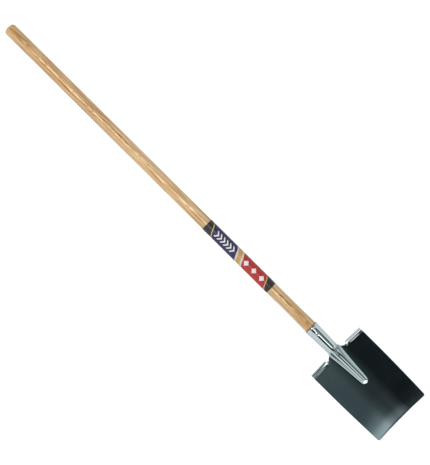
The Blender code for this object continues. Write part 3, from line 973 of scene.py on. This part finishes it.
for measure, limit in (
    (off_centres[0], CHEVRON_HALF_THICKNESS),
    (off_middle, CHEVRON_HALF_WIDTH),
    (from_corner, DIAMOND_HALF_LENGTH),
):
    inside.append(add(film, MATH, {0: measure, 1: limit}, operation="LESS_THAN").outputs[0])
chevron = add(film, MATH, {0: inside[0], 1: inside[1]}, operation="MULTIPLY").outputs[0]
marks = add(film, MATH, {0: chevron, 1: inside[2]}, operation="MAXIMUM").outputs[0]
printed = {0: marks, 6: ground.outputs["Color"], 7: linear("#D8D4D6")}
printed = add(film, MIX, printed, data_type="RGBA").outputs[2]
film.links.new(printed, shader.inputs["Base Color"])
shader.inputs["Roughness"].default_value = 0.38
shader.inputs["Specular IOR Level"].default_value = 0.4
print("film", len(film.nodes), "nodes")

# %% [markdown]
# ## The studio
#
# The camera looks straight down, turned so that the spade lies from corner to corner.

# %% Camera
camera_data = bpy.data.cameras.new("camera")
camera = bpy.data.objects.new("camera", camera_data)
bpy.context.scene.collection.objects.link(camera)
camera.location = (0.0368, -0.0003, 2.402)
camera.rotation_euler = (0, 0, math.radians(44.76))
camera_data.lens = 65.8
camera_data.sensor_width = 36
bpy.context.scene.camera = camera
bpy.context.scene.view_settings.view_transform = "Standard"

# %% [markdown]
# Polished steel looks like what is round it, so the room is drawn as the steel sees it. Each
# direction is given as two tilts from straight up, in degrees: one ahead, towards the cutting
# edge, and one aside, across the blade. Its azimuth is its turn from ahead, in radians.

# %% Directions in the studio
studio = bpy.data.worlds.new("studio")
bpy.context.scene.world = studio
studio.use_nodes = True
sky = studio.node_tree
direction = add(sky, "ShaderNodeTexCoord").outputs["Generated"]
direction = add(sky, "ShaderNodeSeparateXYZ", {0: direction}).outputs
tilts = []
for sideways in direction[:2]:
    tilt = add(sky, MATH, {0: sideways, 1: direction[2]}, operation="ARCTAN2").outputs[0]
    tilt = add(sky, MATH, {0: tilt, 1: 180 / math.pi}, operation="MULTIPLY").outputs[0]
    tilts.append(tilt)
ahead, aside = tilts
azimuth = add(sky, MATH, {0: direction[1], 1: direction[0]}, operation="ARCTAN2").outputs[0]

# %% [markdown]
# The ceiling has a dark side and a glowing side, one for each half of the blade. Both are pale
# behind, where the lip at the cutting edge looks, dark overhead, and white from well ahead on.
# The border between them bends twice, and one fades softly into the other.

# %% Ceiling
CEILING_START = -10.0
CEILING_END = 30.0
DARK_SIDE = (
    (0.05, 0.75),
    (0.82, 1.0),
    (0.20, "#7E898B"),
    (0.27, "#3F4648"),
    (0.34, "#22272A"),
    (0.50, "#1A1F21"),
    (0.73, "#1F2426"),
)
GLOW_SIDE = (
    (0.05, 0.6),
    (0.82, 1.0),
    (0.20, "#DCE4E5"),
    (0.29, "#C2CDCF"),
    (0.39, "#788385"),
    (0.52, "#565F62"),
    (0.60, "#4A5457"),
    (0.73, "#454E51"),
)
BORDER_BEND = 6.5
BORDER_LEAN = -0.4
BORDER_FADE = {"From Min": -7.5, "From Max": 10.0}
ceiling_limits = {"From Min": CEILING_START, "From Max": CEILING_END}
run = add(sky, RANGE, {"Value": ahead, **ceiling_limits}).outputs["Result"]
dark_side = add(sky, RAMP, {"Fac": run}, stops=DARK_SIDE).outputs["Color"]
glow_side = add(sky, RAMP, {"Fac": run}, stops=GLOW_SIDE).outputs["Color"]
bend = add(sky, MATH, {0: ahead, 1: BORDER_BEND}, operation="PINGPONG").outputs[0]
side = add(sky, MATH, {0: bend, 1: BORDER_LEAN, 2: aside}, operation="MULTIPLY_ADD").outputs[0]
side = add(sky, RANGE, {"Value": side, **BORDER_FADE}, interpolation_type="SMOOTHSTEP").outputs[0]
room = add(sky, MIX, {0: side, 6: dark_side, 7: glow_side}, data_type="RGBA").outputs[2]

# %% [markdown]
# The rest of the room is made of belts and patches. A belt lies round a middle tilt or azimuth:
# it is full up to one distance from it and has faded out at another. A patch is fenced by limits,
# each a measure, where it starts and where it is full, and is the product of them all.
#
# The walls are white, far out to the sides. The gap is a dark belt along the ceiling's middle,
# which the socket and the ridge mirror as fine dark lines, and the windows are two slits of
# light in it. The beam, the band, the side strip and the flag are dark shapes further out, which
# draw the fine lines at the edges of the ridge, the neck and the treads.

# %% Belts
BELTS = {
    "behind": (ahead, -6.0, 5.5, 7.5, 1.0, "LINEAR"),
    "walls": (aside, -0.5, 26.5, 24.0, 1.0, "SMOOTHSTEP"),
    "gap": (aside, -1.0, 29.0, 32.0, 1.0, "SMOOTHSTEP"),
    "left window": (aside, -16.5, 3.5, 5.5, 1.0, "LINEAR"),
    "right window": (aside, 17.0, 3.5, 5.5, 0.45, "LINEAR"),
    "flag": (azimuth, math.radians(46), 0.22, 0.30, 1.0, "SMOOTHSTEP"),
    "front light": (azimuth, -0.1, 0.76, 0.84, 1.3, "SMOOTHSTEP"),
}
belts = {}
for name, (measure, middle, full, gone, strength, fade) in BELTS.items():
    off = add(sky, MATH, {0: measure, 1: middle}, operation="SUBTRACT").outputs[0]
    off = add(sky, MATH, {0: off}, operation="ABSOLUTE").outputs[0]
    limits = {"From Min": full, "From Max": gone, "To Min": strength, "To Max": 0.0}
    belt = add(sky, RANGE, {"Value": off, **limits}, interpolation_type=fade)
    belts[name] = belt.outputs["Result"]

# %% Patches
leaning = []
for lean in (-0.2, -0.27):
    line = add(sky, MATH, {0: aside, 1: lean, 2: ahead}, operation="MULTIPLY_ADD")
    leaning.append(line.outputs[0])
gap_line, band_line = leaning
PATCHES = {
    "beam": ("LINEAR", (ahead, -42.0, -37.0), (ahead, -8.0, -10.0), (aside, 8.0, 11.0)),
    "board": (
        "LINEAR",
        (azimuth, 0.16, 0.19),
        (azimuth, 0.42, 0.39),
        (ahead, 48.0, 49.5),
        (ahead, 76.0, 72.0),
    ),
    "side strip": (
        "LINEAR",
        (aside, -53.0, -50.0),
        (aside, -26.0, -30.0),
        (ahead, 33.0, 35.0),
        (ahead, 56.0, 53.0),
    ),
    "windows": ("LINEAR", (ahead, 40.0, 38.0)),
    "gap": ("SMOOTHSTEP", (gap_line, 17.0, 20.0)),
    "band": ("SMOOTHSTEP", (band_line, 8.9, 8.3), (aside, 26.0, 29.0), (aside, 60.0, 54.0)),
    "front light": ("SMOOTHSTEP", (ahead, 47.5, 50.0)),
}
patches = {}
for name, (fade, *fences) in PATCHES.items():
    patches[name] = 1.0
    for measure, start, full in fences:
        limits = {"From Min": start, "From Max": full}
        part = add(sky, RANGE, {"Value": measure, **limits}, interpolation_type=fade).outputs[0]
        patch = add(sky, MATH, {0: patches[name], 1: part}, operation="MULTIPLY")
        patches[name] = patch.outputs[0]

# %% [markdown]
# The gap ends sooner straight ahead than to the sides, so that the ridge's nose mirrors the
# bright room past it. A ramp over the azimuth gives the tilt at which it ends, in hundreds of
# degrees, as a ramp holds no more than 1. A board to one side shuts out the light past the end,
# where a tread's folds would catch it.

# %% The end of the gap
GAP_END = ((0.455, 0.58), (0.595, 0.43), (0.47, 0.27), (0.575, 0.27))
GAP_END_FADE = 1.5
limits = {"From Min": -1.0, "From Max": 1.0}
round_about = add(sky, RANGE, {"Value": azimuth, **limits}).outputs["Result"]
end = add(sky, RAMP, {"Fac": round_about}, stops=GAP_END).outputs["Color"]
past_end = add(sky, MATH, {0: end, 1: -100.0, 2: ahead}, operation="MULTIPLY_ADD").outputs[0]
limits = {"From Min": 0.0, "From Max": GAP_END_FADE}
past_end = add(sky, RANGE, {"Value": past_end, **limits}).outputs["Result"]
off_board = add(sky, MATH, {0: 1.0, 1: patches["board"]}, operation="SUBTRACT").outputs[0]
past_end = add(sky, MATH, {0: past_end, 1: off_board}, operation="MULTIPLY").outputs[0]
before_end = add(sky, MATH, {0: 1.0, 1: past_end}, operation="SUBTRACT").outputs[0]

# %% The gap with its windows, side strip and flag
FLAG_HEIGHT = 0.72
windows = {0: belts["left window"], 1: belts["right window"]}
windows = add(sky, MATH, windows, operation="MAXIMUM").outputs[0]
windows = add(sky, MATH, {0: windows, 1: patches["windows"]}, operation="MULTIPLY").outputs[0]
shutter = add(sky, MATH, {0: 1.0, 1: windows}, operation="SUBTRACT").outputs[0]
gap = belts["gap"]
for part in (patches["gap"], before_end, shutter):
    gap = add(sky, MATH, {0: gap, 1: part}, operation="MULTIPLY").outputs[0]
low_down = add(sky, MATH, {0: direction[2], 1: FLAG_HEIGHT}, operation="LESS_THAN").outputs[0]
flag = add(sky, MATH, {0: belts["flag"], 1: low_down}, operation="MULTIPLY").outputs[0]
for part in (patches["side strip"], flag):
    gap = add(sky, MATH, {0: gap, 1: part}, operation="MAXIMUM").outputs[0]

# %% [markdown]
# The shapes are now laid over the ceiling one by one, in their colours, and the front light adds
# its brightness last. A camera that looks past the floor sees plain white.

# %% Laying the room together
behind = {0: belts["behind"], 1: patches["beam"]}
behind = add(sky, MATH, behind, operation="MAXIMUM").outputs[0]
for part, colour in (
    (behind, "#23282A"),
    (belts["walls"], "#FAFAFA"),
    (patches["band"], "#586264"),
    (gap, "#1E2324"),
):
    room = add(sky, MIX, {0: part, 6: room, 7: linear(colour)}, data_type="RGBA").outputs[2]
front = patches["front light"]
for part in (belts["front light"], past_end):
    front = add(sky, MATH, {0: front, 1: part}, operation="MULTIPLY").outputs[0]
lit = {0: 1.0, 6: room, 7: front}
room = add(sky, MIX, lit, data_type="RGBA", blend_type="ADD").outputs[2]
rays = add(sky, "ShaderNodeLightPath")
shown = {0: rays.outputs["Is Camera Ray"], 6: room, 7: linear("#FFFFFF")}
shown = add(sky, MIX, shown, data_type="RGBA").outputs[2]
background = sky.nodes["Background"]
sky.links.new(shown, background.inputs["Color"])
background.inputs["Strength"].default_value = 1.0
print("studio", len(sky.nodes), "nodes")

# %% [markdown]
# Two lamps help the room. A small one hangs close over the socket: the blade can't see it, but
# the socket's round front does, as a thin bright line. A long one hangs over the shaft. It
# lights the wood from above and draws a fine bright line along the varnish.

# %% Lamps
LAMPS = {
    "socket_lamp": {"sides": (0.085, 0.075), "energy": 0.045, "place": (0.530, 0.035, 0.345)},
    "shaft_lamp": {"sides": (1.6, 0.3), "energy": 10.5, "place": (-0.36, -0.02, 1.25)},
}
for name, facts in LAMPS.items():
    lamp_data = bpy.data.lights.new(name, "AREA")
    lamp_data.shape = "RECTANGLE"
    lamp_data.size, lamp_data.size_y = facts["sides"]
    lamp_data.energy = facts["energy"]
    lamp = bpy.data.objects.new(name, lamp_data)
    bpy.context.scene.collection.objects.link(lamp)
    lamp.location = facts["place"]
    lamp.visible_camera = False
    print(name, facts["energy"], "W")

# %% [markdown]
# The floor is white card. What the camera and the steel see of it gets a share of its own light,
# so that it stays white, and the rest is lit by the room, so that it keeps the spade's shadow.

# %% Floor
FLOOR_SIZE = 12
FLOOR_GAP = 0.2 * MM
SEEN_GLOW = 0.7
MIRRORED_GLOW = 0.36
deselect_all()
bpy.ops.mesh.primitive_plane_add(size=FLOOR_SIZE, location=(0, 0, -FLOOR_GAP))
floor = bpy.context.object
floor.name = "floor"
apply_place(floor)
card, shader = new_finish("white_card", floor)
shader.inputs["Base Color"].default_value = linear("#C0C0C0")
shader.inputs["Roughness"].default_value = 0.9
shader.inputs["Specular IOR Level"].default_value = 0.0
rays = add(card, "ShaderNodeLightPath").outputs
seen = {0: rays["Is Camera Ray"], 1: rays["Is Transmission Ray"]}
glow = add(card, MATH, seen, operation="MAXIMUM").outputs[0]
glow = add(card, MATH, {0: glow, 1: SEEN_GLOW}, operation="MULTIPLY").outputs[0]
mirrored = {0: rays["Is Glossy Ray"], 1: MIRRORED_GLOW, 2: glow}
glow = add(card, MATH, mirrored, operation="MULTIPLY_ADD").outputs[0]
card.links.new(glow, shader.inputs["Emission Strength"])
shader.inputs["Emission Color"].default_value = (1, 1, 1, 1)
print("floor", FLOOR_SIZE, "m wide")
